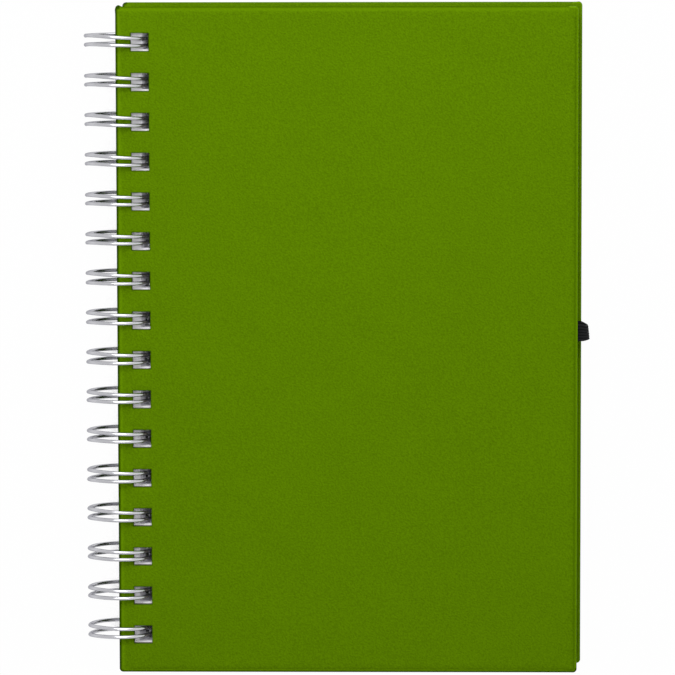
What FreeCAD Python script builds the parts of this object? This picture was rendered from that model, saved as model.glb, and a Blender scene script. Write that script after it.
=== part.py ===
import FreeCAD, Part
import math
import os
import re

import Sketcher
from FreeCAD import Placement, Rotation, Vector

# A hard-cover notebook bound with a twin-loop wire, lying on its back cover with the front cover up.
# +X runs from the spine to the fore edge, +Y up the page, and Z = 0 is where the wire loops touch the table.

SIZES = {
    # Covers: a greyboard panel in a leatherette wrap, turned in behind and closed with a paper lining
    "cover_width": 147.2,
    "cover_height": 214.0,
    "board_thickness": 1.4,
    "wrap_thickness": 0.3,
    "lining_thickness": 0.2,
    "turn_in": 15.0,
    "lining_margin": 4.0,
    "corner_radius": 1.2,
    "edge_rounding": 0.6,
    "mitre_width": 0.3,
    "mitre_depth": 0.15,
    # Leaves: how much narrower than a cover, how far inside its top and bottom edges, and their whole pile
    "page_narrowing": 6.2,
    "page_inset": 3.0,
    "page_thickness": 10.0,
    # Square punched holes in a 2:1 row along the spine, the same in the covers and the leaves
    "hole_size": 5.7,
    "hole_margin": 4.9,
    "hole_pitch": 12.7,
    "row_margin": 2.0,
    "row_rise": 0.55,
    # How the pieces stand on the rings: along X from the ring axis, and slid along Y
    "front_overhang": 0.3,
    "back_setback": 1.2,
    "page_setback": 2.5,
    "cover_slide": 0.5,
    # Wire
    "wire_diameter": 1.2,
    "strand_spacing": 2.2,
    "strand_spread": 0.7,
    "link_bend": 0.8,
    "seam_gap": 1.5,
    "tip_clearance": 0.3,
    "stub_length": 1.6,
    # The last leaves rise over the wire's seam and come back down over this ramp
    "rise_flat": 13.0,
    "rise_ramp": 16.0,
    # Elastic pen loop
    "loop_width": 6.2,
    "loop_reach": 2.5,
    "elastic_thickness": 0.9,
    "loop_bend": 2.4,
    "loop_rise": 1.5,
    "loop_clearance": 0.3,
    "loop_headroom": 0.4,
    "tongue_length": 14.0,
    "tongue_start": 0.8,
}

# Cells worked out from the others: the leaves' size, and as many holes as the lining's height has room for
DERIVED = {
    "page_width": "cover_width - page_narrowing",
    "page_height": "cover_height - 2 * page_inset",
    "hole_count": "floor((cover_height - 2 * lining_margin - 2 * row_margin - hole_size) / hole_pitch) + 1",
}

# Runs of the wire's faceted path and section
WIRE_SIDES = 6
WIRE_STEP = math.radians(20.0)
TIP_RUNS = 4
BEND_RUNS = 3

# Radius of the ring of points that a sketch's corners start from, before its constraints move them
SKETCH_START = 10.0

doc = FreeCAD.newDocument("Notebook")


def fill_sheet():
    """Write each size and each formula into its own cell, with its name as the alias."""
    sheet = doc.addObject("Spreadsheet::Sheet", "Sizes")
    cells = {name: str(value) for name, value in SIZES.items()}
    cells.update({name: f"={formula}" for name, formula in DERIVED.items()})
    for row, (name, text) in enumerate(cells.items(), start=1):
        sheet.set(f"A{row}", name)
        sheet.set(f"B{row}", text)
        sheet.setAlias(f"B{row}", name)
    doc.recompute()
    return sheet


SHEET = fill_sheet()


def of(text):
    """An expression in which every size's name stands for its cell."""
    known = {**SIZES, **DERIVED}
    return re.sub("[a-z_]+", lambda word: "Sizes." + word[0] if word[0] in known else word[0], text)


# Derived sizes, as expressions of the cells
COVER_THICKNESS = "(board_thickness + 2 * wrap_thickness + lining_thickness)"
WRAP_DEPTH = "(board_thickness + 2 * wrap_thickness)"
HOLE_REACH = "(hole_margin + hole_size / 2 + (back_setback - front_overhang) / 2)"
HOLE_HEIGHT = f"(page_thickness / 2 + {COVER_THICKNESS} / 2)"
RING_RADIUS = f"sqrt({HOLE_REACH} * {HOLE_REACH} + {HOLE_HEIGHT} * {HOLE_HEIGHT})"
RING_HEIGHT = f"({RING_RADIUS} + wire_diameter / 2)"
AXIS_X = f"(({RING_HEIGHT} - back_setback - cover_width - loop_reach) / 2)"
ROW_HALF = "(hole_count - 1) * hole_pitch / 2"


def size(name):
    """The number that a cell holds."""
    return float(SHEET.get(name))


def cover_thickness():
    """A finished cover, outer face to inner face."""
    return size("board_thickness") + 2 * size("wrap_thickness") + size("lining_thickness")


def ring_radius():
    """Radius of the wire's centre line, so that it runs through the middle of the covers' holes."""
    reach = size("hole_margin") + size("hole_size") / 2 + (size("back_setback") - size("front_overhang")) / 2
    height = size("page_thickness") / 2 + cover_thickness() / 2
    return math.hypot(reach, height)


def new_body(name):
    """An empty body that is labelled as its piece."""
    body = doc.addObject("PartDesign::Body", name)
    body.Label = name
    return body


def place(body, x, y, z, turn=None):
    """Bind a body's position to expressions of the sizes; turn is its fixed rotation."""
    body.Placement = Placement(Vector(0, 0, 0), turn or Rotation())
    body.setExpression("Placement.Base.x", of(x))
    body.setExpression("Placement.Base.y", of(y))
    body.setExpression("Placement.Base.z", of(z))


def polygon(body, name, role, corners, lift=None):
    """A closed sketch on one of the body's own planes, each corner set by a pair of expressions."""
    plane = next(item for item in body.Origin.OriginFeatures if item.Role == role)
    sketch = body.newObject("Sketcher::SketchObject", f"{body.Name}_{name}")
    sketch.AttachmentSupport = [(plane, "")]
    sketch.MapMode = "FlatFace"
    if lift:
        sketch.setExpression("AttachmentOffset.Base.z", of(lift))
    count = len(corners)
    turns = [2 * math.pi * (i + 0.5) / count for i in range(count)]
    start = [Vector(SKETCH_START * math.cos(t), SKETCH_START * math.sin(t), 0) for t in turns]
    for i in range(count):
        sketch.addGeometry(Part.LineSegment(start[i], start[(i + 1) % count]), False)
    for i in range(count):
        sketch.addConstraint(Sketcher.Constraint("Coincident", i, 2, (i + 1) % count, 1))
    for i, (x, y) in enumerate(corners):
        for kind, value, expression in (("DistanceX", start[i].x, x), ("DistanceY", start[i].y, y)):
            index = sketch.addConstraint(Sketcher.Constraint(kind, -1, 1, i, 1, value))
            label = f"{kind}_{i}"
            sketch.renameConstraint(index, label)
            sketch.setExpression(f"Constraints.{label}", of(expression))
    return sketch


def rectangle(body, name, role, left, right, bottom, top, lift=None):
    """A closed rectangular sketch between four expressions."""
    corners = [(right, top), (left, top), (left, bottom), (right, bottom)]
    return polygon(body, name, role, corners, lift)


def pad(body, name, sketch, length, both_ways=False):
    """Extrude a sketch, upwards from it or to both sides of it."""
    feature = body.newObject("PartDesign::Pad", f"{body.Name}_{name}")
    feature.Profile = sketch
    feature.SideType = "Symmetric" if both_ways else "One side"
    feature.setExpression("Length", of(length))
    doc.recompute()
    return feature


def pocket(body, name, sketch, depth=None):
    """Cut a sketch upwards to a depth, or right through both ways."""
    before = body.Shape.Volume
    feature = body.newObject("PartDesign::Pocket", f"{body.Name}_{name}")
    feature.Profile = sketch
    if depth:
        feature.Reversed = True
        feature.setExpression("Length", of(depth))
    else:
        feature.Type = "ThroughAll"
        feature.SideType = "Symmetric"
    doc.recompute()
    if not feature.Shape.Volume < before:
        raise RuntimeError(f"{feature.Name} cut nothing")
    return feature


def fillet(body, name, radius, wanted):
    """Round the edges of the body that wanted() picks out."""
    tip = body.Tip
    names = [f"Edge{i}" for i, edge in enumerate(tip.Shape.Edges, start=1) if wanted(edge)]
    feature = body.newObject("PartDesign::Fillet", f"{body.Name}_{name}")
    feature.Base = (tip, names)
    feature.setExpression("Radius", of(radius))
    doc.recompute()
    return feature


def along(edge, axis):
    """Whether a straight edge runs along the axis."""
    if not isinstance(edge.Curve, (Part.Line, Part.LineSegment)):
        return False
    direction = edge.Vertexes[-1].Point - edge.Vertexes[0].Point
    return abs(direction.normalize() * axis) > 0.9999


def punch(body, rise):
    """The row of square holes along the spine; x = 0 is the piece's spine edge."""
    middle = f"{ROW_HALF} {rise}"
    sketch = rectangle(
        body,
        "hole",
        "XY_Plane",
        "hole_margin",
        "hole_margin + hole_size",
        f"{middle} - hole_size / 2",
        f"{middle} + hole_size / 2",
    )
    hole = pocket(body, "punch", sketch)
    row = body.newObject("PartDesign::LinearPattern", f"{body.Name}_row")
    row.Originals = [hole]
    row.Direction = (sketch, ["V_Axis"])
    row.Reversed = True
    row.setExpression("Length", of("(hole_count - 1) * hole_pitch"))
    row.setExpression("Occurrences", of("hole_count"))
    body.Tip = row
    doc.recompute()
    if not row.Shape.Volume < hole.Shape.Volume:
        raise RuntimeError(f"{row.Name} cut nothing")


def board_outline(body, name, lift=None):
    """The board's outline inside its wrap, with its corners clipped so that the wrap can turn round them."""
    near, far = "wrap_thickness", "cover_width - wrap_thickness"
    reach, clip = "(cover_height / 2 - wrap_thickness)", "corner_radius / 2"
    corners = [
        (far, f"{reach} - {clip}"),
        (f"{far} - {clip}", reach),
        (f"{near} + {clip}", reach),
        (near, f"{reach} - {clip}"),
        (near, f"{clip} - {reach}"),
        (f"{near} + {clip}", f"-{reach}"),
        (f"{far} - {clip}", f"-{reach}"),
        (far, f"{clip} - {reach}"),
    ]
    return polygon(body, name, "XY_Plane", corners, lift)


def make_board(name, rise):
    """The greyboard panel that stiffens a cover."""
    body = new_body(name)
    pad(body, "panel", board_outline(body, "outline"), "board_thickness")
    punch(body, rise)
    return body


def crease_mitres(body):
    """The four diagonal creases where turned-in edges meet, pressed a little into the skin's inner face."""
    start, end, half = "corner_radius", "turn_in", "mitre_width / 2"
    runs = [
        (start, f"{start} - {half}"),
        (end, f"{end} - {half}"),
        (end, f"{end} + {half}"),
        (start, f"{start} + {half}"),
    ]
    for side in ("spine", "fore"):
        for edge in ("bottom", "top"):
            corners = []
            for across, up in runs:
                x = across if side == "spine" else f"cover_width - ({across})"
                y = f"{up} - cover_height / 2" if edge == "bottom" else f"cover_height / 2 - ({up})"
                corners.append((x, y))
            crease = polygon(body, f"{side}_{edge}_crease", "XY_Plane", corners)
            pocket(body, f"{side}_{edge}_mitre", crease, "mitre_depth")


def make_wrap(name, rise, with_tongue_slot=False):
    """The leatherette skin: over the outer face, round the edges and turned in behind the board."""
    body = new_body(name)
    outline = rectangle(
        body, "outline", "XY_Plane", "0", "cover_width", "-cover_height / 2", "cover_height / 2"
    )
    pad(body, "slab", outline, WRAP_DEPTH)
    up = Vector(0, 0, 1)
    fillet(body, "corners", "corner_radius", lambda edge: along(edge, up))
    top = body.Shape.BoundBox.ZMax
    fillet(body, "rounding", "edge_rounding", lambda edge: abs(edge.BoundBox.ZMin - top) < 1e-6)
    pocket(body, "board_space", board_outline(body, "cavity", lift="wrap_thickness"), "board_thickness")
    window = rectangle(
        body,
        "window",
        "XY_Plane",
        "turn_in",
        "cover_width - turn_in",
        "turn_in - cover_height / 2",
        "cover_height / 2 - turn_in",
    )
    pocket(body, "turned_in_edges", window, "wrap_thickness")
    crease_mitres(body)
    if with_tongue_slot:
        # the elastic's tongue is glued down through the turned-in edge; this cover is turned over, so Y is
        # reversed
        slot = rectangle(
            body,
            "slot",
            "XY_Plane",
            "cover_width - tongue_length",
            "cover_width - tongue_start",
            "-loop_rise - loop_width / 2",
            "-loop_rise + loop_width / 2",
        )
        pocket(body, "tongue_slot", slot, "wrap_thickness")
    punch(body, rise)
    return body


def make_lining(name, rise):
    """The pasted-down paper: it laps over the turned-in edges and steps down onto the board between them."""
    body = new_body(name)
    lapped = rectangle(
        body,
        "lapped",
        "XY_Plane",
        "lining_margin",
        "cover_width - lining_margin",
        "lining_margin - cover_height / 2",
        "cover_height / 2 - lining_margin",
    )
    pad(body, "sheet", lapped, "lining_thickness")
    low = rectangle(
        body,
        "low",
        "XY_Plane",
        "turn_in",
        "cover_width - turn_in",
        "turn_in - cover_height / 2",
        "cover_height / 2 - turn_in",
        lift="lining_thickness",
    )
    pad(body, "panel", low, "wrap_thickness")
    recess = rectangle(
        body,
        "recess",
        "XY_Plane",
        "turn_in + lining_thickness",
        "cover_width - turn_in - lining_thickness",
        "turn_in + lining_thickness - cover_height / 2",
        "cover_height / 2 - turn_in - lining_thickness",
    )
    pocket(body, "step", recess, "wrap_thickness")
    punch(body, rise)
    return body


def make_cover(side):
    """The board, wrap and lining of one cover, placed on the rings."""
    front = side == "front"
    rise = "+ row_rise" if front else "- row_rise"
    turn = Rotation() if front else Rotation(Vector(1, 0, 0), 180)
    sign = "+" if front else "-"
    x = f"{AXIS_X} - front_overhang" if front else f"{AXIS_X} + back_setback"
    y = "0 - cover_slide" if front else "0 + cover_slide"
    face = f"{RING_HEIGHT} {sign} page_thickness / 2"
    board = make_board(f"{side}_board", rise)
    wrap = make_wrap(f"{side}_wrap", rise, with_tongue_slot=not front)
    lining = make_lining(f"{side}_lining", rise)
    place(board, x, y, f"{face} {sign} lining_thickness {sign} wrap_thickness", turn)
    place(wrap, x, y, f"{face} {sign} lining_thickness", turn)
    place(lining, x, y, face, turn)
    return [board, wrap, lining]


def make_page_block():
    """The leaves as one block, whose underside rises at the spine over the wire's seam."""
    body = new_body("page_block")
    profile = polygon(
        body,
        "profile",
        "XZ_Plane",
        [
            ("page_width", "page_thickness"),
            ("0", "page_thickness"),
            ("0", "seam_gap"),
            ("rise_flat", "seam_gap"),
            ("rise_flat + rise_ramp", "0"),
            ("page_width", "0"),
        ],
    )
    pad(body, "leaves", profile, "page_height", both_ways=True)
    punch(body, "+ row_rise")
    place(body, f"{AXIS_X} + page_setback", "0", f"{RING_HEIGHT} - page_thickness / 2")
    return body


def ring_point(angle, y):
    """A point of the ring's centre line."""
    return Vector(ring_radius() * math.cos(angle), y, ring_radius() * math.sin(angle))


def link_angle():
    """Where the links between the loops lie, midway in the gap under the leaves, round the ring."""
    height = -size("page_thickness") / 2 + size("seam_gap") / 2
    return math.asin(height / math.hypot(ring_radius(), size("link_bend")))


def strand_angles():
    """Angles of one strand's points, from its link down, under, over the top and down to its tip."""
    start = link_angle() - math.atan(size("link_bend") / ring_radius())
    tip_drop = size("wire_diameter") + size("tip_clearance") + size("strand_spacing") / 2
    end = link_angle() + tip_drop / ring_radius() - 2 * math.pi
    stations = [start, -math.pi / 2, -3 * math.pi / 2, end]
    angles = [start]
    for low, high in zip(stations, stations[1:]):
        runs = math.ceil(abs(high - low) / WIRE_STEP)
        angles += [low + (high - low) * i / runs for i in range(1, runs + 1)]
    return angles


def half_spacings(angles):
    """Half the distance between a loop's strands at each angle: it grows from tip to spine, then stays."""
    tip, spine = angles[-1], -math.pi
    shares = [min((angle - tip) / (spine - tip), 1.0) for angle in angles]
    return [(size("strand_spacing") + size("strand_spread") * s * s * (3 - 2 * s)) / 2 for s in shares]


def quarter_bend(strand_foot, down, outward):
    """The bend from a strand's foot into the link beside it, ending at the link's line."""
    radius = size("link_bend")
    centre = strand_foot + outward * radius
    turns = [math.pi / 2 * i / BEND_RUNS for i in range(1, BEND_RUNS + 1)]
    return [centre - outward * radius * math.cos(t) + down * radius * math.sin(t) for t in turns]


def loop_points(middle):
    """The path of one loop, from the link before it to the link after it."""
    angles = strand_angles()
    halves = half_spacings(angles)
    half = halves[-1]
    foot, tip = angles[0], angles[-1]
    to_link = Vector(-math.sin(foot), 0, math.cos(foot))
    to_tip = Vector(math.sin(tip), 0, -math.cos(tip))
    first = [ring_point(angle, middle - side) for angle, side in zip(angles, halves)]
    last = [ring_point(angle, middle + side) for angle, side in reversed(list(zip(angles, halves)))]
    centre = ring_point(tip, middle)
    turns = [math.pi * i / TIP_RUNS for i in range(1, TIP_RUNS)]
    tip_turn = [centre + Vector(0, -half * math.cos(t), 0) + to_tip * half * math.sin(t) for t in turns]
    bend_in = quarter_bend(first[0], to_link, Vector(0, -1, 0))
    bend_out = quarter_bend(last[-1], to_link, Vector(0, 1, 0))
    return list(reversed(bend_in)) + first + tip_turn + last + bend_out


def wire_path():
    """The whole wire's centre line, about the ring's axis: one run from the first stub to the last."""
    count = int(size("hole_count"))
    points = []
    for i in range(count):
        points += loop_points(size("hole_pitch") * (i - (count - 1) / 2))
    stub = Vector(0, size("stub_length"), 0)
    return [points[0] - stub] + points + [points[-1] + stub]


def swept_rings(path, radius):
    """The section's corners at each point, carried along each run to the plane that halves its turn."""
    runs = [(b - a).normalize() for a, b in zip(path, path[1:])]
    side = runs[0].cross(Vector(1, 0, 0)).normalize()
    up = runs[0].cross(side)
    turns = [2 * math.pi * (i + 0.5) / WIRE_SIDES for i in range(WIRE_SIDES)]
    ring = [path[0] + side * radius * math.cos(t) + up * radius * math.sin(t) for t in turns]
    rings = [ring]
    for i in range(1, len(path)):
        run = runs[i - 1]
        normal = run + runs[i] if i < len(runs) else run
        ring = [corner + run * ((path[i] - corner).dot(normal) / run.dot(normal)) for corner in ring]
        rings.append(ring)
    return rings


def make_wire_binding():
    """One length of wire bent into a row of twin loops joined by straight links, closed round the axis."""
    # the flat-sided section has the area of the round wire
    area_factor = math.sqrt(2 * math.pi / (WIRE_SIDES * math.sin(2 * math.pi / WIRE_SIDES)))
    rings = swept_rings(wire_path(), size("wire_diameter") / 2 * area_factor)
    faces = []
    for one, two in zip(rings, rings[1:]):
        for i in range(WIRE_SIDES):
            j = (i + 1) % WIRE_SIDES
            faces.append(Part.Face(Part.makePolygon([one[i], one[j], two[j], two[i], one[i]])))
    for end in (rings[0], rings[-1]):
        faces.append(Part.Face(Part.makePolygon(end + [end[0]])))
    shell = Part.Shell(faces)
    shell.sewShape()
    solid = Part.Solid(shell)
    if solid.Volume < 0:
        solid.reverse()
    wire = doc.addObject("Part::Feature", "wire_binding")
    wire.Label = "wire_binding"
    wire.Shape = solid
    place(wire, AXIS_X, "row_rise", RING_HEIGHT)
    return wire


def make_pen_loop():
    """The ribbed elastic's loop past the fore edge, with its tongue glued in behind the back lining."""
    body = new_body("pen_loop")
    inward = "(page_setback + page_width + loop_clearance - back_setback - cover_width)"
    height = "(page_thickness + lining_thickness - loop_headroom)"
    across = Vector(0, 1, 0)
    outer = rectangle(body, "outer", "XZ_Plane", inward, "loop_reach", "0", height)
    pad(body, "block", outer, "loop_width", both_ways=True)
    fillet(body, "outer_bends", "loop_bend", lambda edge: along(edge, across))
    inner = rectangle(
        body,
        "inner",
        "XZ_Plane",
        f"{inward} + elastic_thickness",
        "loop_reach - elastic_thickness",
        "elastic_thickness",
        f"{height} - elastic_thickness",
    )
    pocket(body, "opening", inner)
    wall = size("elastic_thickness")
    top = body.Shape.BoundBox.ZMax

    def inner_edge(edge):
        """A corner of the opening."""
        z = edge.Vertexes[0].Point.z
        x = edge.Vertexes[0].Point.x
        level = min(abs(z - wall), abs(z - top + wall)) < 1e-6
        left = body.Shape.BoundBox.XMin + wall
        right = body.Shape.BoundBox.XMax - wall
        return along(edge, across) and level and min(abs(x - left), abs(x - right)) < 1e-6

    fillet(body, "inner_bends", "loop_bend - elastic_thickness", inner_edge)
    tongue = rectangle(
        body, "tongue", "XZ_Plane", "-tongue_length", "-tongue_start", "-wrap_thickness", "0"
    )
    pad(body, "glued_tongue", tongue, "loop_width", both_ways=True)
    place(
        body,
        f"{AXIS_X} + back_setback + cover_width",
        "cover_slide + loop_rise",
        f"{RING_HEIGHT} - page_thickness / 2 - lining_thickness",
    )
    return body


def check(pieces):
    """Stop with a plain message if an object failed or a piece has no sound solid."""
    for item in doc.Objects:
        if "Invalid" in item.State or "Error" in item.State:
            raise RuntimeError(f"{item.Label} failed: {item.State}")
    for piece in pieces:
        shape = piece.Shape
        if shape.isNull() or not shape.isValid() or len(shape.Solids) != 1:
            raise RuntimeError(f"{piece.Label} is not one sound solid")


def main():
    pieces = make_cover("front") + make_cover("back")
    pieces += [make_page_block(), make_wire_binding(), make_pen_loop()]
    doc.recompute()
    check(pieces)
    os.makedirs("parts", exist_ok=True)
    for piece in pieces:
        piece.Shape.exportStep(os.path.join("parts", f"{piece.Label}.step"))
        print(piece.Label, "faces", len(piece.Shape.Faces), "volume", round(piece.Shape.Volume, 1))


main()
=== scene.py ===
import math

import bpy
import numpy as np
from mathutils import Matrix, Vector


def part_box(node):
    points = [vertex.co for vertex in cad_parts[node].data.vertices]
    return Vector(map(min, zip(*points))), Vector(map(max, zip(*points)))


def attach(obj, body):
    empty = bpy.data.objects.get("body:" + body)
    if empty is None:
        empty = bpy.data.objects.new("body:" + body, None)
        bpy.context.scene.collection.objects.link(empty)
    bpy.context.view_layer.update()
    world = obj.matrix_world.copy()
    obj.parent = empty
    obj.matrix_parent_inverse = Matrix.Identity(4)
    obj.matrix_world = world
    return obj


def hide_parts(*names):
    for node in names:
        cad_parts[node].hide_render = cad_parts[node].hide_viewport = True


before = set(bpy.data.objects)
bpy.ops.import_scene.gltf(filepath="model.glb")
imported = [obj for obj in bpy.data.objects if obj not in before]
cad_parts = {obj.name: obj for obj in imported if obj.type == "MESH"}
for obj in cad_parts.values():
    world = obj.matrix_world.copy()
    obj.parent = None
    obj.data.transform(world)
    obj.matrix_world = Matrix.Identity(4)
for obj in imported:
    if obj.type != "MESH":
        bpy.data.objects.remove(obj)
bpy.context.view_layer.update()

# A hard-cover notebook on a twin-loop wire, lying on its back cover.
# Lengths below are millimetres unless they say metres.
MM = 0.001

# Covers, as in the solids
COVER_WIDTH = 147.2
COVER_HEIGHT = 214.0
HALF_WIDTH = COVER_WIDTH / 2
HALF_HEIGHT = COVER_HEIGHT / 2
SKIN_THICKNESS = 0.3
WRAP_DEPTH = 2.0
TURN_IN = 15.0
CORNER_RADIUS = 1.2
TOP_ROUNDING = 0.6
FOLD_ROUNDING = 0.4
FACE_RISE = 0.15
FACE_SWELL = 0.03

# Soft forms of the skins, as depth, distance inside the outline and width
EDGE_FALL = (0.34, 0.0, 1.6)
EDGE_GROOVE = (0.08, 0.95, 0.3)
HOLE_DIP = (0.1, 0.0, 0.25)
FOLD_BOW = (0.06, 0.0, 0.9)
EAR_PEAK = (1.0, 0.0, 1.4)
EAR_HOLLOW = (0.06, 3.2, 1.0)
MITRE_START = 1.3
MITRE_STEP = 0.7
MITRE_DEPTH = 0.14
MITRE_WIDTH = 0.22

# Grid lines inside a cover's edges and outside its holes, and the widest step between lines
EDGE_LINES = (0.72, 0.86, 1.0, 1.15, 1.35, 1.6, 1.9, 2.3, 2.8, 3.4, 4.2, TURN_IN)
HOLE_LINES = (0.12, 0.4)
GRID_STEP = 3.0

# Bulges of the folded corners in the cover's own frame: bottom left and right, then top left and right.
# Then the shares of a bulge that go sideways, up on the outer face and into the turned-in edges.
FRONT_EARS = ((0.0, 0.05), (1.2, 0.15))
BACK_EARS = ((0.0, 0.22), (0.1, 0.1))
EAR_SIDE = 0.15
EAR_LIFT = 0.35
EAR_TUCK = 0.1

# Punched holes
HOLE_SIZE = 5.7
HOLE_MARGIN = 4.9
HOLE_PITCH = 12.7
HOLE_COUNT = 16
ROW_MIDDLE = (HOLE_COUNT - 1) / 2
ROW_RISE = 0.55

# Leaves
PAGE_WIDTH = 141.0
PAGE_SETBACK = 2.5
PAGE_HEIGHT = 208.0
PAGE_THICKNESS = 10.0
SEAM_GAP = 1.5
RISE_FLAT = 13.0
RISE_RAMP = 16.0
LEAF_COUNT = 80
LEAF_SHARE = 0.86
LEAF_FOLLOW = 0.9
LEAF_SLEW = 2.2
LEAF_DRAW = 0.25
LEAF_DRIFT = 0.05
LEAF_JITTER = (0.045, 0.05)
RULE_STEP = 7.0
RULE_START = -52.0

# Wire
WIRE_DIAMETER = 1.2
RING_RADIUS = 10.22
STRAND_SPACING = 2.2
STRAND_SPREAD = 0.7
LINK_BEND = 0.8
TIP_CLEARANCE = 0.3
STUB_LENGTH = 1.6
WIRE_SIDES = 14
LOOP_SWAY = 0.14
LOOP_LEAN = -0.2
LOOP_SAG = 0.08
LOOP_CROWN = 0.5
LOOP_PINCH = 0.12

# The slow wave of the loops' tips, its length and start in rings, with a chance part and limits
WAVE_HEIGHT = 0.4
WAVE_RINGS = 13
WAVE_START = 12.5
WAVE_SLOPE = -0.08
WAVE_SHIFT = -0.2
WAVE_CHANCE = 0.12
WAVE_LIMITS = (-0.6, 0.75)

# Pen loop, its band and its tongue
LOOP_WIDTH = 6.2
BAND_WIDTH = 5.6
LOOP_REACH = 2.5
LOOP_INWARD = 4.6
LOOP_HEIGHT = 9.8
LOOP_BEND = 2.4
LOOP_RISE = 1.5
ELASTIC_THICKNESS = 0.9
RIB_COUNT = 6
RIB_GROOVE = 0.3
THREAD_STEP = 0.36
THREAD_DEPTH = 0.012
BAND_NARROWING = 0.2
BAND_SLANT = 0.55
BAND_SHIFT = 0.25
TONGUE_LENGTH = 14.0
TONGUE_START = 0.8
TONGUE_GROOVE = 0.05

# Room, in metres and in shares of white
FLOOR_SIZE = 6.0
FLOOR_DROP = 0.0002
FLOOR_GLOW = 0.985
SHADE_REACH = 0.03
SHADE_RAMP = (12.0, -1.8)
ROOM_LIGHT = 0.17
ROOM_REFLECTION = 0.85
REFLECTION_RAMP = (1.3, 0.3)


def linear(red, green, blue):
    """A colour given in display values from 0 to 255, as linear light."""
    shares = [value / 255 for value in (red, green, blue)]
    return (*[s / 12.92 if s <= 0.04045 else ((s + 0.055) / 1.055) ** 2.4 for s in shares], 1.0)


# Colours
GREEN = linear(90, 126, 3)
# painted shade for the cover's edges, fore-edge groove and hole rims
EDGE_SHADE_GREEN = linear(44, 72, 0)
# painted highlight for the cover's edge crests
HIGHLIGHT_GREEN = linear(110, 152, 3)
PAPER = linear(246, 245, 250)
PAPER_EDGE = linear(214, 212, 220)
RULE_GREY = linear(176, 186, 200)
LINING = linear(238, 236, 232)
BOARD_GREY = linear(150, 143, 132)
BOARD_DARK = linear(112, 106, 98)
STEEL = linear(204, 204, 208)
STEEL_DULL = linear(168, 168, 174)
ELASTIC = linear(11, 11, 13)
ELASTIC_DUST = linear(47, 47, 49)
FLOOR_WHITE = linear(218, 218, 219)


# Mesh tools


def bell(value, width):
    """A bell of height 1: exp(-(value / width)^2)."""
    return np.exp(-((value / width) ** 2))


def form(distance, shape):
    """A soft form at distances from an outline: its depth times a bell about its own distance."""
    depth, place, width = shape
    return depth * bell(distance - place, width)


def smooth(share):
    """A smooth step from 0 to 1: share^2 * (3 - 2 * share)."""
    return share * share * (3 - 2 * share)


def lattice(rows, columns, loop_rows=False, loop_columns=False):
    """Quads between neighbours on a grid numbered row by row; a looped direction joins its end to its
    start."""
    i, j = np.meshgrid(
        np.arange(rows if loop_rows else rows - 1),
        np.arange(columns if loop_columns else columns - 1),
        indexing="ij",
    )
    k, m = (i + 1) % rows, (j + 1) % columns
    return np.stack([i * columns + j, k * columns + j, k * columns + m, i * columns + m], -1).reshape(-1, 4)


def free_edges(quads):
    """The directed edges that belong to one face only."""
    edges = np.concatenate([quads[:, [0, 1]], quads[:, [1, 2]], quads[:, [2, 3]], quads[:, [3, 0]]])
    low, high = edges.min(1), edges.max(1)
    _, first, count = np.unique(low * (edges.max() + 1) + high, return_index=True, return_counts=True)
    return edges[first[count == 1]]


def closed_shell(points, quads, inner):
    """A sheet with a back: the faces again, turned round on the inner points, and a rim along each free
    edge."""
    shift = len(points)
    edges = free_edges(quads)
    rim = np.stack([edges[:, 0] + shift, edges[:, 1] + shift, edges[:, 1], edges[:, 0]], -1)
    return np.concatenate([points, inner]), np.concatenate([quads, quads[:, ::-1] + shift, rim])


def make_piece(name, points, faces, material, sharp_angle=None, attributes=None):
    """A mesh object at the origin from points in millimetres, with values kept at its points."""
    mesh = bpy.data.meshes.new(name)
    used, faces_used = np.unique(np.concatenate([np.ravel(part) for part in faces]), return_inverse=True)
    split = np.cumsum([part.size for part in faces])[:-1]
    parts = [flat.reshape(part.shape) for flat, part in zip(np.split(faces_used, split), faces)]
    mesh.from_pydata((points[used] * MM).tolist(), [], [face for part in parts for face in part.tolist()])
    for label, values in (attributes or {}).items():
        values = np.asarray(values, np.float32)[used]
        kind, key = ("FLOAT", "value") if values.ndim == 1 else ("FLOAT_VECTOR", "vector")
        mesh.attributes.new(label, kind, "POINT").data.foreach_set(key, values.ravel())
    mesh.shade_smooth()
    if sharp_angle:
        mesh.set_sharp_from_angle(angle=math.radians(sharp_angle))
    mesh.materials.append(material)
    piece = bpy.data.objects.new(name, mesh)
    bpy.context.scene.collection.objects.link(piece)
    return piece


def fill_lines(marks, step):
    """Sorted grid lines through every mark, with even ones between marks further apart than the step."""
    marks = np.unique(np.round(marks, 4))
    parts = [
        np.linspace(a, b, max(2, math.ceil((b - a) / step) + 1))[:-1] for a, b in zip(marks, marks[1:])
    ]
    return np.concatenate(parts + [marks[-1:]])


# Node tools


def feed(tree, target, value):
    """Link a socket into an input, or set the input to a constant."""
    if isinstance(value, bpy.types.NodeSocket):
        tree.links.new(value, target)
    else:
        target.default_value = value


def add(tree, kind, inputs=None, **settings):
    """A node with its settings, and its inputs given as values or as sockets to link from."""
    item = tree.nodes.new(kind)
    for name, value in settings.items():
        setattr(item, name, value)
    for name, value in (inputs or {}).items():
        feed(tree, item.inputs[name], value)
    return item


def math_node(tree, operation, first, second=0.0, third=0.0):
    """One number worked out from up to three."""
    return add(tree, "ShaderNodeMath", {0: first, 1: second, 2: third}, operation=operation).outputs[0]


def times(tree, first, second):
    """The product of two numbers."""
    return math_node(tree, "MULTIPLY", first, second)


def mix_colours(tree, share, first, second):
    """A colour between two, by a share from 0 to 1."""
    item = add(tree, "ShaderNodeMix", data_type="RGBA")
    for index, value in ((0, share), (6, first), (7, second)):
        feed(tree, item.inputs[index], value)
    return item.outputs[2]


def clamped(tree, value):
    """A number held between 0 and 1."""
    return add(tree, "ShaderNodeClamp", {"Value": value}).outputs[0]


def parts_of(tree, vector):
    """The X, Y and Z parts of a vector."""
    return add(tree, "ShaderNodeSeparateXYZ", {0: vector}).outputs


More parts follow.
